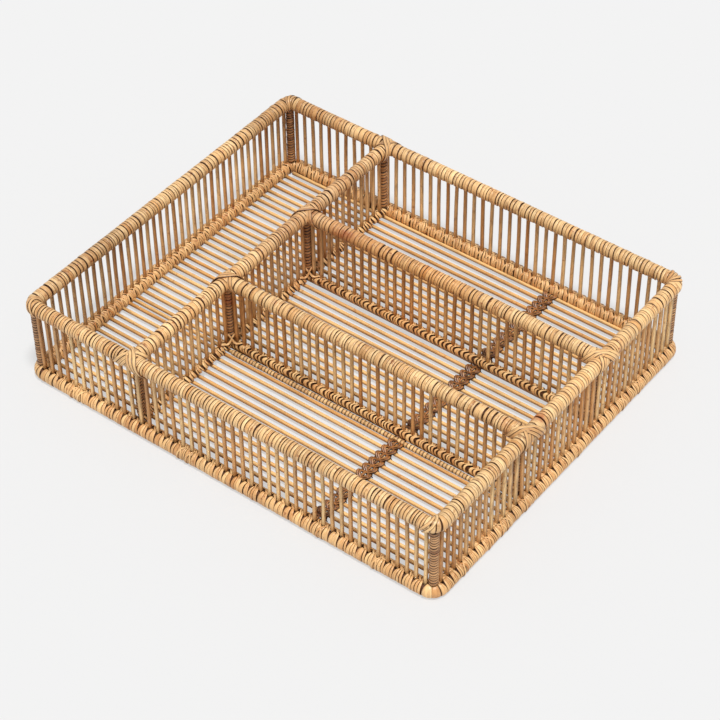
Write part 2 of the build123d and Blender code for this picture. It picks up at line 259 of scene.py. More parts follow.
# Floor tie: loops over each rod. Each point has its place along the rod, across it, and its height
# over the upper side of the tie, or None where it is down between the rods.
LOOP_PLACES = (-4.2, 0.0, 4.2)
LOOP_POINTS = (
    (-1.0, -3.2, None),
    (-0.5, -2.0, -0.8),
    (0.0, 0.0, 0.25),
    (0.5, 2.0, -0.8),
    (1.0, 3.2, None),
)
LOOP_FACES = ((0, -1, 0.2), (0, -0.8, 0.8), (0, 0, 1), (0, 0.8, 0.8), (0, 1, 0.2))
LOOP_BOTTOM = 1.0
LOOP_WIDTH = 2.4
LOOP_CANE = 0.7

# Darker stains in the cane: place, reach, and strength
STAINS = (
    ((200.0, -33.0, 82.0), 9.0, 1.0),
    ((183.0, -55.0, 82.0), 9.0, 0.8),
    ((-50.0, 50.0, 82.0), 11.0, 1.0),
    ((-38.0, -52.0, 82.0), 5.0, 0.8),
    ((-92.0, -52.0, 60.0), 9.0, 0.9),
)

# Painted shade over a longer stretch, partly redder cane: place, reach, and tint
PAINTED_SHADE_AND_TINT = (
    ((-200.0, -105.0, 78.0), 80.0, (0.75, 0.72, 0.7)),
    ((-190.0, 150.0, 78.0), 60.0, (0.73, 0.66, 0.6)),
    ((-92.0, 65.0, 78.0), 90.0, (0.82, 0.76, 0.76)),
    ((15.0, 54.0, 78.0), 85.0, (0.9, 0.76, 0.62)),
)

# How a stain and a stretch of painted shade fade: value at the middle before it is cut to 1, and fall
# over the reach
STAIN_FADE = (1.4, 1.0)
SHADE_AND_TINT_FADE = (2.0, 1.8)


def node_box(node):
    """Lowest and highest corner of a node, in millimetres."""
    low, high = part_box(node)
    return np.array(low) / MM, np.array(high) / MM


def bar_places(node, axis):
    """Lowest and highest corner of each bar of a node, in order along one axis."""
    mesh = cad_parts[node].data
    flat = np.zeros(len(mesh.vertices) * 3)
    mesh.vertices.foreach_get("co", flat)
    points = flat.reshape(-1, 3) / MM
    order = points[np.argsort(points[:, axis])]
    cuts = np.where(np.diff(order[:, axis]) > BAR_GAP)[0] + 1
    return [(bar.min(0), bar.max(0)) for bar in np.split(order, cuts)]


def closeness(points, place, reach, fade):
    """From 1 near a place down to 0 further out, for each point."""
    far = np.linalg.norm(points - np.array(place), axis=1) / reach
    return np.clip(fade[0] - fade[1] * far, 0, 1)


def store(mesh, name, values):
    """Numbers or vectors kept on the mesh's points for its material."""
    kind, key = ("FLOAT_VECTOR", "vector") if values.ndim == 2 else ("FLOAT", "value")
    data = mesh.attributes.new(name, kind, "POINT").data
    data.foreach_set(key, values.astype(np.float32).ravel())


class Batch:
    """Vertices, faces and cane values of one piece while it is made."""

    def __init__(self):
        self.points, self.faces, self.cane = [], [], []
        self.count = 0

    def add_tube(self, grid, along, tone, across):
        """Closed skin over a grid of sections: steps by points round by three.

        The cane values of a point are its place across the strand, its length along it, and the
        strand's tone.
        """
        steps, sides = grid.shape[:2]
        index = self.count + np.arange(steps * sides).reshape(steps, sides)
        turned = np.roll(index, -1, axis=1)
        quads = np.stack([index[:-1], turned[:-1], turned[1:], index[1:]], axis=-1)
        self.faces.extend(quads.reshape(-1, 4).tolist())
        self.faces.append(index[0][::-1].tolist())
        self.faces.append(index[-1].tolist())
        self.points.append(grid.reshape(-1, 3))
        values = np.empty((steps, sides, 3))
        values[..., 0] = across
        values[..., 1] = np.asarray(along)[:, None]
        values[..., 2] = tone
        self.cane.append(values.reshape(-1, 3))
        self.count += steps * sides

    def make(self, name, material, slot, nodes):
        """The finished piece on the tray, pressed flat where it rests, in place of its nodes."""
        points = np.concatenate(self.points)
        points[:, 2] = np.maximum(points[:, 2], 0.0)
        mesh = bpy.data.meshes.new(name)
        mesh.from_pydata((points * MM).tolist(), [], self.faces)
        stain = np.zeros(len(points))
        for place, reach, strength in STAINS:
            stain = np.maximum(stain, strength * closeness(points, place, reach, STAIN_FADE))
        # Painted shade over longer stretches, partly redder cane, kept for the material as a loss of
        # each colour
        shade_and_tint = np.ones((len(points), 3))
        for place, reach, tint in PAINTED_SHADE_AND_TINT:
            shade_and_tint *= 1 - closeness(points, place, reach, SHADE_AND_TINT_FADE)[:, None] * (1 - np.array(tint))
        store(mesh, "cane", np.concatenate(self.cane))
        store(mesh, "stain", stain)
        store(mesh, "shade_and_tint_loss", 1 - shade_and_tint)
        mesh.polygons.foreach_set("use_smooth", [len(face) == 4 for face in self.faces])
        mesh.materials.append(material)
        piece = bpy.data.objects.new(name, mesh)
        bpy.context.scene.collection.objects.link(piece)
        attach(piece, "root")
        if nodes:
            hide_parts(*nodes)


class Line:
    """Straight path. first is the direction where the turns begin, second a quarter turn on."""

    def __init__(self, start, end, first, second):
        self.start = np.array(start, float)
        span = np.array(end, float) - self.start
        self.length = float(np.linalg.norm(span))
        self.along = span / self.length
        self.first, self.second = np.array(first, float), np.array(second, float)

    def at(self, s):
        """Centre, first and second direction at each length along the path."""
        centre = self.start + np.asarray(s, float)[..., None] * self.along
        first = np.broadcast_to(self.first, centre.shape)
        second = np.broadcast_to(self.second, centre.shape)
        return centre, first, second


class Ring:
    """Rounded rectangle round the tray, from the start of the front wall's straight part.

    root is 1 where the spindles enter from above, and -1 where they enter from below.
    """

    def __init__(self, half_x, half_y, bend, level, root):
        self.bend, self.level, self.root = bend, level, root
        x, y = half_x - bend, half_y - bend
        self.walls, self.length = [], 0.0
        for i, corner in enumerate(((x, -y), (x, y), (-x, y), (-x, -y))):
            run = 2 * (x, y)[i % 2]
            self.walls.append((self.length, run, np.array(corner), i * math.pi / 2))
            self.length += run + bend * math.pi / 2

    def at(self, s):
        """Centre, root and outward direction at each length along the path."""
        s = np.mod(np.asarray(s, float), self.length)
        centre = np.full(s.shape + (3,), float(self.level))
        out = np.zeros(s.shape + (3,))
        for start, run, corner, heading in self.walls:
            here = s >= start
            u = s[here] - start
            angle = heading - math.pi / 2 + np.maximum(u - run, 0) / self.bend
            ray = np.stack([np.cos(angle), np.sin(angle)], axis=-1)
            way = np.array([math.cos(heading), math.sin(heading)])
            centre[here, :2] = corner + self.bend * ray - np.maximum(run - u, 0)[:, None] * way
            out[here, :2] = ray
        root = np.broadcast_to(np.array([0, 0, self.root], float), centre.shape)
        return centre, root, out

    def nearest(self, x, y):
        """Length along the path beside a point of the plan."""
        s = np.linspace(0, self.length, RING_POINTS, endpoint=False)
        centre = self.at(s)[0]
        return float(s[np.argmin((centre[:, 0] - x) ** 2 + (centre[:, 1] - y) ** 2)])


def random_tone():
    """Tone of one strand, mostly near the lighter colour."""
    return float(np.clip(rng.normal(TONE_MIDDLE, TONE_SPREAD), 0, 1))


def add_turn(batch, path, radius, cane, places, widths, lift, slant=0.0):
    """One turn of cane: from the spindle side, round over the far side, and back to it.

    places are its lengths along the path where it starts, at the far side and at its end. widths are
    those at the spindle side and at the far side.
    """
    start, top, end = places
    turn = np.linspace(0, 2 * math.pi, TURN_STEPS)
    away = np.sin(turn / 2)
    opened = 1 - (1 - away) ** WIDENING
    root = np.where(turn < math.pi, start, end)
    lean = slant * (np.minimum(turn, 2 * math.pi - turn) / math.pi - 0.5) * opened
    middle = root + (top - root) * opened + lean
    width = widths[0] + (widths[1] - widths[0]) * opened
    centre, first, second = path.at(middle[:, None] + width[:, None] * CANE_ACROSS[None, :])
    ray = np.cos(turn)[:, None, None] * first + np.sin(turn)[:, None, None] * second
    reach = radius - cane + cane * CANE_HEIGHT[None, :] + lift * away[:, None]
    along = rng.uniform(0, STRAND_LENGTH) + turn * radius
    batch.add_tube(centre + ray * reach[..., None], along, random_tone(), CANE_ACROSS * 2)


def wrap_between(batch, path, stops, radius, cane, style):
    """Cane round a path, with its turns drawn together where it passes between the spindles."""
    rows = []
    for low, high in zip(stops, stops[1:]):
        pitch = high - low
        count = max(1, int(round(rng.choice(style.turns) * pitch / USUAL_PITCH)))
        free = max(pitch - 2 * REED_RADIUS, LEAST_ROOM)
        edges = np.linspace(0, 1, count + 1)
        edges[1:-1] += rng.normal(0, EDGE_SPREAD / count, count - 1)
        for near, far in zip(edges, edges[1:]):
            middle, room = (near + far) / 2, far - near
            root = low + REED_RADIUS + middle * free
            rows.append((root, low + middle * pitch, room * free, room * pitch))
    for i, (root, top, root_width, top_width) in enumerate(rows):
        end = rows[i + 1][0] if i + 1 < len(rows) else root + top_width * LAST_STEP
        share = style.fill - abs(rng.normal(0, WIDTH_SPREAD))
        if rng.random() < style.gaps:
            share -= rng.uniform(*GAP_WIDTH)
        top += rng.normal(0, PLACE_SPREAD + LOOSE_PLACE * style.loose) * top_width
        share *= 1 - LOOSE_WIDTH * style.loose * rng.random()
        lift = style.loose * abs(rng.normal(0, 1))
        slant = style.slant + rng.normal(0, LEAN_SPREAD)
        places, widths = (root, top, end), (root_width, top_width * share)
        add_turn(batch, path, radius, cane, places, widths, lift, slant)


def cross_under(batch, path, place, radius):
    """Two turns that cross each other beside the foot of one spindle."""
    for layer, way in enumerate((-1, 1)):
        root = place + way * (REED_RADIUS + CROSSING_WIDTH / 2)
        top = place - way * rng.uniform(*CROSSING_REACH) * CROSSING_WIDTH
        widths = (CROSSING_NECK * CROSSING_WIDTH, CROSSING_WIDTH)
        add_turn(batch, path, radius + CROSSING_LIFT, CROSSING_CANE, (root, top, root), widths,
                 CROSSING_LIFT * layer)


def wrap_close(batch, path, pitch, radius, cane, uneven):
    """Close turns round a path that nothing enters."""
    count = max(2, int(round(path.length / pitch)))
    step = path.length / count
    for i in range(count):
        width = step * rng.uniform(*CLOSE_WIDTH)
        start = i * step + step * rng.uniform(*CLOSE_START)
        places = (start, start + CLOSE_CLIMB[0] * step, start + CLOSE_CLIMB[1] * step)
        add_turn(batch, path, radius, cane, places, (width, width), rng.normal(0, uneven))


def add_reed(batch, low, high, axis, bend, steps):
    """One round reed with a slight bend and a slightly uneven thickness."""
    across = [a for a in range(3) if a != axis]
    middle = (low + high) / 2
    u = np.linspace(0, 1, steps)
    centre = np.zeros((steps, 3))
    centre[:, axis] = low[axis] + u * (high[axis] - low[axis])
    bow = np.sin(math.pi * u)
    for a in across:
        lean = bend * rng.normal() * (2 * u - 1)
        centre[:, a] = middle[a] + bend * rng.normal() * bow + lean
    thick = REED_RADIUS * (1 + rng.normal(0, REED_SPREAD) + rng.normal(0, REED_UNEVEN, steps))
    angle = np.linspace(0, 2 * math.pi, REED_SIDES, endpoint=False)
    grid = np.repeat(centre[:, None, :], REED_SIDES, axis=1)
    grid[..., across[0]] += thick[:, None] * np.cos(angle)
    grid[..., across[1]] += thick[:, None] * np.sin(angle)
    along = rng.uniform(0, STRAND_LENGTH) + centre[:, axis]
    # np.cos(angle) as the place across puts the material's painted shade on two opposite sides of the
    # reed
    batch.add_tube(grid, along, rng.uniform(0, 1), np.cos(angle))


def reed_piece(name, node, bars, axis, bend, steps, material, slot):
    """All the reeds of one node."""
    batch = Batch()
    for low, high in bars:
        add_reed(batch, low, high, axis, bend, steps)
    batch.make(name, material, slot, [node])


def add_node(tree, kind, inputs=None, **settings):
    """One shader node with its settings and unlinked inputs."""
    node = tree.nodes.new(kind)
    for key, value in settings.items():
        setattr(node, key, value)
    for key, value in (inputs or {}).items():
        node.inputs[key].default_value = value
    return node


def add_noise(tree, vector, scale, detail, roughness):
    """Output of a noise."""
    inputs = {"Scale": scale, "Detail": detail, "Roughness": roughness}
    noise = add_node(tree, "ShaderNodeTexNoise", inputs)
    tree.links.new(vector, noise.inputs["Vector"])
    return noise.outputs["Fac"]


def remap(tree, value, low, high, to_low, to_high):
    """Output of a value mapped from one range to another, and kept inside it."""
    inputs = {"From Min": low, "From Max": high, "To Min": to_low, "To Max": to_high}
    node = add_node(tree, "ShaderNodeMapRange", inputs)
    tree.links.new(value, node.inputs["Value"])
    return node.outputs[0]


def lay_over(tree, base, factor, colour):
    """Output of a colour laid over a base colour by a factor."""
    mix = add_node(tree, "ShaderNodeMix", {"B": colour}, data_type="RGBA")
    tree.links.new(base, mix.inputs["A"])
    tree.links.new(factor, mix.inputs["Factor"])
    return mix.outputs["Result"]


def combine(tree, kind, operation, first, second):
    """Output of one operation on two linked values or vectors."""
    node = add_node(tree, kind, operation=operation)
    tree.links.new(first, node.inputs[0])
    tree.links.new(second, node.inputs["Scale" if operation == "SCALE" else 1])
    return node.outputs[0]


def rgba(r, g, b):
    """Colour written as screen values from 0 to 255, in linear light."""
    def linear(v):
        v /= 255
        return v / 12.92 if v <= 0.04045 else ((v + 0.055) / 1.055) ** 2.4
    return (linear(r), linear(g), linear(b), 1.0)


FIBRE_COLOUR = rgba(122, 66, 28)
FLECK_COLOUR = rgba(152, 78, 36)
STAIN_COLOUR = rgba(184, 104, 56)

# Grain: how the cane values are stretched for its noise, the range of the noise that shows as dark
# lines, and the strength of its relief and its depth in metres
GRAIN_STRETCH = (0.95, 0.035, 37.0)
GRAIN_RANGE = (0.36, 0.52)
GRAIN_BUMP = 0.35
GRAIN_DEPTH = 0.00025

# Ranges of the noises that make flecks and ragged stains
FLECK_RANGE = (0.6, 0.72)
STAIN_RANGE = (0.48, 0.62)
STAIN_MOST = 0.75

# Slow drift of the brightness, change of the roughness along the grain, and the range of the noise
# that drives both
SOFT_RANGE = (0.35, 0.65)
DRIFT = (0.86, 1.08)
ROUGH_CHANGE = (-0.07, 0.1)


def cane_material(name, light, dark, edge_shade_colour, rough, grain, edge_shade, flecks=0.35, edge_shade_from=0.72):
    """Split cane or round reed: tone by strand, lengthwise grain, painted shade towards the edges of
    strands and on two sides of reeds, flecks and stains, and painted shade over longer stretches, partly
    redder cane.
    """
    material = bpy.data.materials.new(name)
    material.use_nodes = True
    tree = material.node_tree
    link = tree.links.new
    shader = tree.nodes["Principled BSDF"]
    cane = add_node(tree, "ShaderNodeAttribute", attribute_name="cane").outputs["Vector"]
    stain = add_node(tree, "ShaderNodeAttribute", attribute_name="stain").outputs["Fac"]
    shade_and_tint_loss = add_node(tree, "ShaderNodeAttribute", attribute_name="shade_and_tint_loss").outputs["Vector"]
    place = add_node(tree, "ShaderNodeTexCoord").outputs["Object"]
    parts = add_node(tree, "ShaderNodeSeparateXYZ")
    link(cane, parts.inputs[0])

    stretch = add_node(tree, "ShaderNodeVectorMath", {1: GRAIN_STRETCH}, operation="MULTIPLY")
    link(cane, stretch.inputs[0])
    fibre = add_noise(tree, stretch.outputs[0], scale=2.2, detail=5.0, roughness=0.62)
    blotch = add_noise(tree, place, scale=75.0, detail=4.0, roughness=0.6)
    fleck = add_noise(tree, place, scale=260.0, detail=3.0, roughness=0.6)
    broad = add_noise(tree, place, scale=17.0, detail=2.0, roughness=0.5)

    tone = add_node(tree, "ShaderNodeMix", {"A": dark, "B": light}, data_type="RGBA")
    link(parts.outputs["Z"], tone.inputs["Factor"])
    lines = remap(tree, fibre, *GRAIN_RANGE, grain, 0.0)
    colour = lay_over(tree, tone.outputs["Result"], lines, FIBRE_COLOUR)
    # Painted shade: the third colour is laid over towards the edges of a flat strand and on two opposite
    # sides of a round reed
    side = add_node(tree, "ShaderNodeMath", operation="ABSOLUTE")
    link(parts.outputs["X"], side.inputs[0])
    colour = lay_over(tree, colour, remap(tree, side.outputs[0], edge_shade_from, 1.0, 0.0, edge_shade), edge_shade_colour)
    colour = lay_over(tree, colour, remap(tree, fleck, *FLECK_RANGE, 0.0, flecks), FLECK_COLOUR)
    ragged = remap(tree, blotch, *STAIN_RANGE, 0.0, STAIN_MOST)
    stained = combine(tree, "ShaderNodeMath", "MULTIPLY", stain, ragged)
    colour = lay_over(tree, colour, stained, STAIN_COLOUR)
    drift = remap(tree, broad, *SOFT_RANGE, *DRIFT)
    colour = combine(tree, "ShaderNodeVectorMath", "SCALE", colour, drift)
    # Painted shade over longer stretches, partly redder cane
    kept = add_node(tree, "ShaderNodeVectorMath", {0: (1, 1, 1)}, operation="SUBTRACT")
    link(shade_and_tint_loss, kept.inputs[1])
    colour = combine(tree, "ShaderNodeVectorMath", "MULTIPLY", colour, kept.outputs[0])
    link(colour, shader.inputs["Base Color"])

    least, most = (rough + change for change in ROUGH_CHANGE)
    link(remap(tree, fibre, *SOFT_RANGE, least, most), shader.inputs["Roughness"])
    bump = add_node(tree, "ShaderNodeBump", {"Strength": GRAIN_BUMP, "Distance": GRAIN_DEPTH})
    link(fibre, bump.inputs["Height"])
    link(bump.outputs[0], shader.inputs["Normal"])
    return material


# For each material the third colour is the painted shade at the edges of strands and on the sides of
# reeds; the joint cane is much like the honey cane with more of it
HONEY = cane_material("honey_cane", rgba(255, 216, 157), rgba(228, 168, 101), rgba(90, 46, 19),
                      rough=0.38, grain=0.62, edge_shade=1.0, flecks=0.8, edge_shade_from=0.68)
JOINT = cane_material("joint_cane", rgba(253, 210, 149), rgba(214, 152, 90), rgba(66, 32, 13),
                      rough=0.38, grain=0.62, edge_shade=1.0, flecks=0.4, edge_shade_from=0.58)
BASE = cane_material("base_cane", rgba(250, 205, 143), rgba(206, 142, 80), rgba(74, 38, 16),
                     rough=0.38, grain=0.38, edge_shade=1.0, flecks=0.8, edge_shade_from=0.74)
RAIL = cane_material("rail_cane", rgba(255, 212, 148), rgba(212, 150, 88), rgba(84, 44, 18),
                     rough=0.38, grain=0.35, edge_shade=0.9)
REED = cane_material("spindle_reed", rgba(255, 218, 158), rgba(214, 156, 94), rgba(104, 60, 28),
                     rough=0.4, grain=0.5, edge_shade=0.6, flecks=0.6)
FLOOR_REED = cane_material("floor_reed", rgba(252, 208, 140), rgba(224, 166, 96), rgba(122, 68, 28),
                           rough=0.38, grain=0.25, edge_shade=0.6, flecks=0.45, edge_shade_from=0.55)
POST = cane_material("post_cane", rgba(226, 172, 116), rgba(150, 100, 60), rgba(38, 18, 8),
                     rough=0.4, grain=0.45, edge_shade=1.0, flecks=0.5, edge_shade_from=0.42)
DARK = cane_material("tie_cane", rgba(186, 124, 66), rgba(78, 42, 20), rgba(18, 8, 4),
                     rough=0.4, grain=0.35, edge_shade=1.0, flecks=0.5, edge_shade_from=0.3)
PALE = cane_material("pale_cane", rgba(248, 210, 150), rgba(206, 152, 94), rgba(52, 26, 11),
                     rough=0.44, grain=0.35, edge_shade=1.0, edge_shade_from=0.5)
# Dark brown core, seen only between the turns: painted shade in the gaps
POLE_GAP_SHADE = cane_material("pole", rgba(132, 84, 44), rgba(92, 54, 28), rgba(42, 22, 10),
                     rough=0.6, grain=0.2, edge_shade=0.0)

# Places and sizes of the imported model
front_low, front_high = node_box("front_rim_binding")
right_low, right_high = node_box("right_rim_binding")
rim_level = front_high[2] - RIM_RADIUS
half_width = -(front_low[1] + front_high[1]) / 2
half_length = (right_low[0] + right_high[0]) / 2
corner_bend = half_length - front_high[0]
base_flare = -node_box("front_base_binding")[0][1] - BASE_RADIUS - half_width
base_level = node_box("front_base_pole")[0][2] + BASE_POLE_RADIUS
rail_level = node_box("front_base_rail_binding")[0][2] + RAIL_RADIUS
divider_at = {}
for divider in DIVIDERS:
    box_low, box_high = node_box(divider + "_divider_binding")
    divider_at[divider] = (box_low + box_high)[1 - RUNS_ALONG[divider]] / 2
wall_bars = {wall: bar_places(wall + "_wall_spindles", RUNS_ALONG[wall]) for wall in WALLS}
divider_bars = {name: bar_places(name + "_divider_spindles", RUNS_ALONG[name]) for name in DIVIDERS}

rim_ring = Ring(half_length, half_width, corner_bend, rim_level, -1)
base_ring = Ring(half_length + base_flare, half_width + base_flare, corner_bend + base_flare,
                 base_level, 1)


def wrap_ring(kind, ring, radius, styles, material):
    """Cane all round one ring, in one piece for each wall. Corner turns go with the wall before."""
    stops = []
    for wall in WALLS:
        for low, high in wall_bars[wall]:
            stops.append((ring.nearest(*(low + high)[:2] / 2), wall))
    stops.sort()
    batches = {wall: Batch() for wall in WALLS}
    for (low, wall), (high, _) in zip(stops, stops[1:] + [(stops[0][0] + ring.length, WALLS[0])]):
        style = styles[wall]
        wrap_between(batches[wall], ring, [low, high], radius, POLE_CANE, style)
        if style.crossed and rng.random() < style.crossed:
            cross_under(batches[wall], ring, low, radius)
    for wall, batch in batches.items():
        piece = wall + "_" + kind
        batch.make(piece + "_cane", material, "honey_cane", [piece + "_binding"])


def divider_path(divider, level, margin, root):
    """Path along a divider, with the turns beginning at the spindle side."""
    place = divider_at[divider]
    if divider == "cross":
        start, end = (place, -half_width + margin, level), (place, half_width - margin, level)
        return Line(start, end, (0, 0, root), (1, 0, 0))
    start, end = (divider_at["cross"] + margin, place, level), (half_length - margin, place, level)
    return Line(start, end, (0, 0, root), (0, 1, 0))


def wrap_divider(divider, kind, path, radius, cane, style, material):
    """Cane along a divider rail or base rail, drawn together between its spindles."""
    axis = RUNS_ALONG[divider]
    stops = [(low + high)[axis] / 2 - path.start[axis] for low, high in divider_bars[divider]]
    stops = [0.0] + [s for s in stops if 0 < s < path.length] + [path.length]
    batch = Batch()
    wrap_between(batch, path, stops, radius, cane, style)
    piece = divider + "_" + kind
    batch.make(piece + "_cane", material, "honey_cane", [piece + "_binding"])


def smooth_path(points, steps):
    """Catmull-Rom curve through a list of points."""
    points = np.array(points, float)
    padded = np.concatenate([2 * points[:1] - points[1:2], points, 2 * points[-1:] - points[-2:-1]])
    u = np.linspace(0, 1, steps, endpoint=False)[:, None]
    runs = []
    for a, b, c, d in zip(padded, padded[1:], padded[2:], padded[3:]):
        runs.append(0.5 * (2 * b + (c - a) * u + (2 * a - 5 * b + 4 * c - d) * u ** 2
                           + (3 * b - a - 3 * c + d) * u ** 3))
    return np.concatenate(runs + [points[-1:]])


def add_strand(batch, points, normals, width, cane, steps):
    """Flat cane laid along a curve, with its face turned to the normals."""
    centre = smooth_path(points, steps)
    normal = smooth_path(normals, steps)
    normal /= np.linalg.norm(normal, axis=1, keepdims=True)
    way = np.gradient(centre, axis=0)
    way /= np.linalg.norm(way, axis=1, keepdims=True)
    side = np.cross(way, normal)
    side /= np.linalg.norm(side, axis=1, keepdims=True)
    face = np.cross(side, way)
    grid = (centre[:, None, :] + side[:, None, :] * (width * CANE_ACROSS)[None, :, None]
            + face[:, None, :] * (cane * CANE_HEIGHT)[None, :, None])
    run = np.concatenate([[0], np.cumsum(np.linalg.norm(np.diff(centre, axis=0), axis=1))])
    batch.add_tube(grid, rng.uniform(0, STRAND_LENGTH) + run, random_tone(), CANE_ACROSS * 2)


def rotate_plan(points, degrees):
    """Points turned about Z."""
    a = math.radians(degrees)
    turn = np.array([[math.cos(a), math.sin(a), 0], [-math.sin(a), math.cos(a), 0], [0, 0, 1]])
    return points @ turn


def add_joint(batch, x, y, turn):
    """Two crossed bands of cane from the outer side of a pole to the sides of the divider."""
    for band, mirror in enumerate((1, -1)):
        for i in range(JOINT_STRANDS):
            offset = (i - (JOINT_STRANDS - 1) / 2) * JOINT_PITCH + rng.normal(0, JOINT_SPREAD)
            radius = RIM_RADIUS - JOINT_SINK + JOINT_LAYER * band + rng.uniform(0, JOINT_LIFT)
            points, normals = [], []
            for a in np.radians(JOINT_ANGLES):
                across, up = math.sin(a), math.cos(a)
                points.append((radius * a * JOINT_ADVANCE - offset, radius * across, radius * up))
                normals.append((0, across, up))
            for a in -np.radians(JOINT_ANGLES[::-1]):
                across, up = math.sin(a), math.cos(a)
                points.append((radius * across, radius * a * JOINT_ADVANCE + offset, radius * up))
                normals.append((across, 0, up))
            points = rotate_plan(np.array(points) * (mirror, 1, 1), turn) + (x, y, rim_level)
            normals = rotate_plan(np.array(normals) * (mirror, 1, 1), turn)
            add_strand(batch, points, normals, JOINT_WIDTH, STRAND_CANE, STRAND_STEPS)


def joint_piece():
    """Crossed cane over all six divider joints."""
    batch = Batch()
    cross = divider_at["cross"]
    add_joint(batch, cross, -half_width, 0)
    add_joint(batch, cross, half_width, 180)
    for divider in ("front", "back"):
        add_joint(batch, half_length, divider_at[divider], 90)
        add_joint(batch, cross, divider_at[divider], -90)
    batch.make("joint_cane", JOINT, "honey_cane",
               ["cross_end_lashings", "right_end_lashings", "crossing_lashings"])


def add_foot(batch, x, y, ways):
    """Cane from the foot of a post down over the base rails."""
    for way_x, way_y in ways:
        for sense in (-1, 1):
            side_x, side_y = -way_y * sense, way_x * sense
            drop = rng.uniform(-FOOT_DROP, FOOT_DROP)
            points, normals = [], []
            for i, (along, beside, over, face_side, face_up) in enumerate(FOOT_POINTS):
                over += drop if i < FOOT_ON_POST else 0
                points.append((x + way_x * along + side_x * beside,
                               y + way_y * along + side_y * beside,
                               rail_level + RAIL_RADIUS + over))
                normals.append((side_x * face_side, side_y * face_side, face_up))
            add_strand(batch, points, normals, FOOT_WIDTH, FOOT_CANE, STRAND_STEPS)


def foot_piece():
    """Cane at the feet of the posts that stand on the base rails."""
    batch = Batch()
    for divider in ("front", "back"):
        add_foot(batch, divider_at["cross"], divider_at[divider], ((1, 0), (0, 1), (0, -1)))
        add_foot(batch, half_length - POST_INSET, divider_at[divider], ((-1, 0),))
    batch.make("foot_cane", RAIL, "honey_cane", [])


def corner_piece():
    """Strands that cross the fans of cane at the rim corners."""
    batch = Batch()
    u = np.linspace(-1, 1, CORNER_POINTS)
    for (side_x, side_y), count, sense in CORNER_STRANDS:
        middle = rim_ring.nearest(side_x * half_length, side_y * half_width)
        for i in range(count):
            shift = (i - (count - 1) / 2) * CORNER_PITCH
            turn = np.radians(180 + CORNER_SWEEP * u * sense)
            run = CORNER_RUN + rng.uniform(-CORNER_RUN_SPREAD, CORNER_RUN_SPREAD)
            centre, root, out = rim_ring.at(middle + shift + u * run)
            ray = np.cos(turn)[:, None] * root + np.sin(turn)[:, None] * out
            radius = RIM_RADIUS - CORNER_SINK + CORNER_LAYER * (i % 2) + rng.uniform(0, CORNER_LIFT)
            add_strand(batch, centre + radius * ray, ray, CORNER_WIDTH, STRAND_CANE, CORNER_STEPS)
    batch.make("corner_cane", JOINT, "honey_cane", ["corner_lashings"])


def wrap_posts():
    """Dark cane round every post."""
    batch = Batch()
    for node in sorted(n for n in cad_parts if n.startswith("post_")):
        low, high = node_box(node)
        x, y = (low + high)[:2] / 2
        path = Line((x, y, low[2]), (x, y, high[2]), (1, 0, 0), (0, 1, 0))
        kind = "corner" if node.startswith(("post_front", "post_back")) else "joint"
        wrap_close(batch, path, POST_PITCH[kind], POST_RADIUS, POST_CANE, POST_UNEVEN)
    batch.make("post_cane", POST, "dark_cane", ["corner_post_bindings", "joint_post_bindings"])


def wrap_wound_rod():
    """Pale cane round one floor rod."""
    low, high = node_box("wound_rod_binding")
    y, z = (low + high)[1:] / 2
    path = Line((low[0], y, z), (high[0], y, z), (0, 0, -1), (0, 1, 0))
    batch = Batch()
    wrap_close(batch, path, WOUND_PITCH, WOUND_RADIUS, WOUND_CANE, WOUND_UNEVEN)
    batch.make("wound_rod_cane", PALE, "pale_cane", ["wound_rod_binding"])


def floor_tie():
    """Dark cane twined over and under the floor rods, with loops over each of them."""
    batch = Batch()
    low, high = node_box("floor_tie_upper")
    left, right = low[0] + TIE_MARGIN, high[0] - TIE_MARGIN
    over, under = high[2] - TIE_SINK, max(node_box("floor_tie_lower")[0][2], TIE_LOWEST)
    rods = [(a + b)[1] / 2 for a, b in bar_places("floor_rods", 1)]
    rods = [y for y in rods if low[1] < y < high[1]]
    for near, far in zip(rods, rods[1:]):
        for first, last in ((left, right), (right, left)):
            for beside in TIE_PAIR:
                lifted = over + rng.uniform(0, TIE_LIFT)
                crossing = (over + under) / 2 + TIE_CROSSING * (first < last)
                points = [(first + beside, near - TIE_OVER_ROD, lifted),
                          (first + beside, near + TIE_OVER_ROD, over),
                          ((first + last) / 2 + beside, (near + far) / 2, crossing),
                          (last + beside, far - TIE_OVER_ROD, over),
                          (last + beside, far + TIE_OVER_ROD, lifted)]
                add_strand(batch, points, [(0, 0, 1)] * len(points), TIE_WIDTH, TIE_CANE, TIE_STEPS)
    for y in rods:
        for place in LOOP_PLACES:
            x = (left + right) / 2 + place
            points = [(x + along, y + across, under + LOOP_BOTTOM if height is None else over + height)
                      for along, across, height in LOOP_POINTS]
            add_strand(batch, points, LOOP_FACES, LOOP_WIDTH, LOOP_CANE, TIE_STEPS)
    batch.make("floor_tie_cane", DARK, "dark_cane", ["floor_tie_upper", "floor_tie_lower"])


def clothe_cores():
    """Bare poles, rails, posts and pegs, seen only between the turns, get the pole material, whose dark
    brown is painted shade in the gaps between turns.
    """
    for node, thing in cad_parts.items():
        if node.endswith(("pole", "rail", "pegs")) or node.startswith("post_"):
            thing.data.materials.clear()
            thing.data.materials.append(POLE_GAP_SHADE)


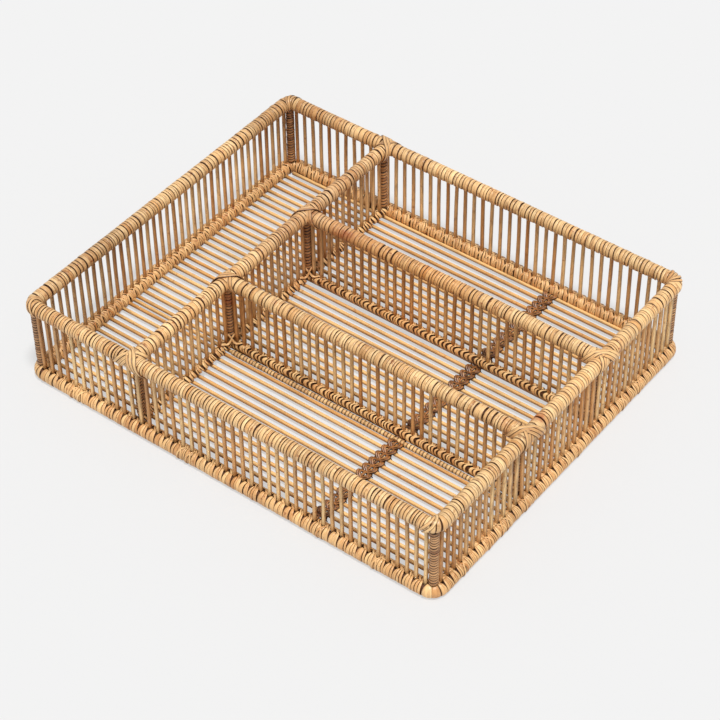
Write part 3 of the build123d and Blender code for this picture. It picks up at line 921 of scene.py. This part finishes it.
wrap_ring("rim", rim_ring, RIM_RADIUS, RIM_WINDING, HONEY)
wrap_ring("base", base_ring, BASE_RADIUS, BASE_WINDING, BASE)
for divider in DIVIDERS:
    rail_path = divider_path(divider, rim_level, DIVIDER_MARGIN, -1)
    wrap_divider(divider, "divider", rail_path, RIM_RADIUS, POLE_CANE, DIVIDER_WINDING[divider], HONEY)
    rail_path = divider_path(divider, rail_level, RAIL_MARGIN, 1)
    wrap_divider(divider, "base_rail", rail_path, RAIL_RADIUS, RAIL_CANE, RAIL_WINDING, RAIL)
joint_piece()
foot_piece()
corner_piece()
for wall in WALLS:
    reed_piece(wall + "_reeds", wall + "_wall_spindles", wall_bars[wall], 2, SPINDLE_BEND, SPINDLE_STEPS,
               REED, "spindle_reed")
for divider in DIVIDERS:
    reed_piece(divider + "_divider_reeds", divider + "_divider_spindles", divider_bars[divider], 2,
               SPINDLE_BEND, SPINDLE_STEPS, REED, "spindle_reed")
reed_piece("floor_reeds", "floor_rods", bar_places("floor_rods", 1), 0, FLOOR_BEND, FLOOR_STEPS,
           FLOOR_REED, "floor_reed")
reed_piece("wound_floor_reed", "wound_floor_rod", bar_places("wound_floor_rod", 1), 0, 0.0, FLOOR_STEPS,
           FLOOR_REED, "floor_reed")
wrap_posts()
wrap_wound_rod()
floor_tie()
clothe_cores()


def grey(level):
    """Grey of one level."""
    return (level, level, level, 1)


def make_floor():
    """Pale paper that takes the tray's shadow, and glows a little to the camera."""
    mesh = bpy.data.meshes.new("floor")
    square = ((-1, -1), (1, -1), (1, 1), (-1, 1))
    corners = [(x * PAPER_HALF, y * PAPER_HALF, PAPER_LEVEL) for x, y in square]
    mesh.from_pydata(corners, [], [(0, 1, 2, 3)])
    floor = bpy.data.objects.new("floor", mesh)
    bpy.context.scene.collection.objects.link(floor)
    material = bpy.data.materials.new("floor_paper")
    material.use_nodes = True
    tree = material.node_tree
    tree.nodes.clear()
    link = tree.links.new
    matt = add_node(tree, "ShaderNodeBsdfDiffuse", {"Color": grey(PAPER_WHITE)})
    glow = add_node(tree, "ShaderNodeEmission", {"Color": grey(BACKGROUND)})
    rays = add_node(tree, "ShaderNodeLightPath")
    share = add_node(tree, "ShaderNodeMath", {1: PAPER_GLOW}, operation="MULTIPLY")
    mix = add_node(tree, "ShaderNodeMixShader")
    out = add_node(tree, "ShaderNodeOutputMaterial")
    link(rays.outputs["Is Camera Ray"], share.inputs[0])
    link(share.outputs[0], mix.inputs[0])
    link(matt.outputs[0], mix.inputs[1])
    link(glow.outputs[0], mix.inputs[2])
    link(mix.outputs[0], out.inputs["Surface"])
    mesh.materials.append(material)


def make_light():
    """Even sky and one broad soft sun. What looks straight at the sky sees the background."""
    world = bpy.data.worlds.new("studio")
    bpy.context.scene.world = world
    world.use_nodes = True
    tree = world.node_tree
    tree.nodes.clear()
    link = tree.links.new
    sky = add_node(tree, "ShaderNodeBackground", {"Color": grey(1), "Strength": SKY_STRENGTH})
    paper = add_node(tree, "ShaderNodeBackground", {"Color": grey(1), "Strength": BACKGROUND})
    rays = add_node(tree, "ShaderNodeLightPath").outputs
    either = combine(tree, "ShaderNodeMath", "MAXIMUM", rays["Is Camera Ray"], rays["Is Glossy Ray"])
    seen = combine(tree, "ShaderNodeMath", "MAXIMUM", either, rays["Is Transmission Ray"])
    mix = add_node(tree, "ShaderNodeMixShader")
    out = add_node(tree, "ShaderNodeOutputWorld")
    link(seen, mix.inputs[0])
    link(sky.outputs[0], mix.inputs[1])
    link(paper.outputs[0], mix.inputs[2])
    link(mix.outputs[0], out.inputs[0])
    lamp = bpy.data.lights.new("sun", "SUN")
    lamp.energy = SUN_STRENGTH
    lamp.angle = math.radians(SUN_ANGLE)
    sun = bpy.data.objects.new("sun", lamp)
    sun.rotation_mode = "QUATERNION"
    sun.rotation_quaternion = Vector(SUN_DIRECTION).to_track_quat("-Z", "Y")
    bpy.context.scene.collection.objects.link(sun)


def make_camera():
    """Camera at the photograph's place and angle."""
    azimuth, dip, roll = (math.radians(v) for v in (CAMERA_AZIMUTH, CAMERA_DIP, CAMERA_ROLL))
    level = math.cos(dip)
    ahead = Vector((math.cos(azimuth) * level, math.sin(azimuth) * level, -math.sin(dip)))
    level_right = Vector((math.sin(azimuth), -math.cos(azimuth), 0))
    level_up = level_right.cross(ahead)
    right = math.cos(roll) * level_right + math.sin(roll) * level_up
    up = -math.sin(roll) * level_right + math.cos(roll) * level_up
    data = bpy.data.cameras.new("camera")
    data.lens = CAMERA_LENS
    data.sensor_width = CAMERA_SENSOR
    data.clip_end = CAMERA_FARTHEST
    camera = bpy.data.objects.new("camera", data)
    matrix = Matrix((right, up, -ahead)).transposed().to_4x4()
    matrix.translation = Vector(CAMERA_PLACE) * MM
    camera.matrix_world = matrix
    bpy.context.scene.collection.objects.link(camera)
    bpy.context.scene.camera = camera


make_floor()
make_light()
make_camera()
bpy.context.scene.view_settings.view_transform = "Standard"
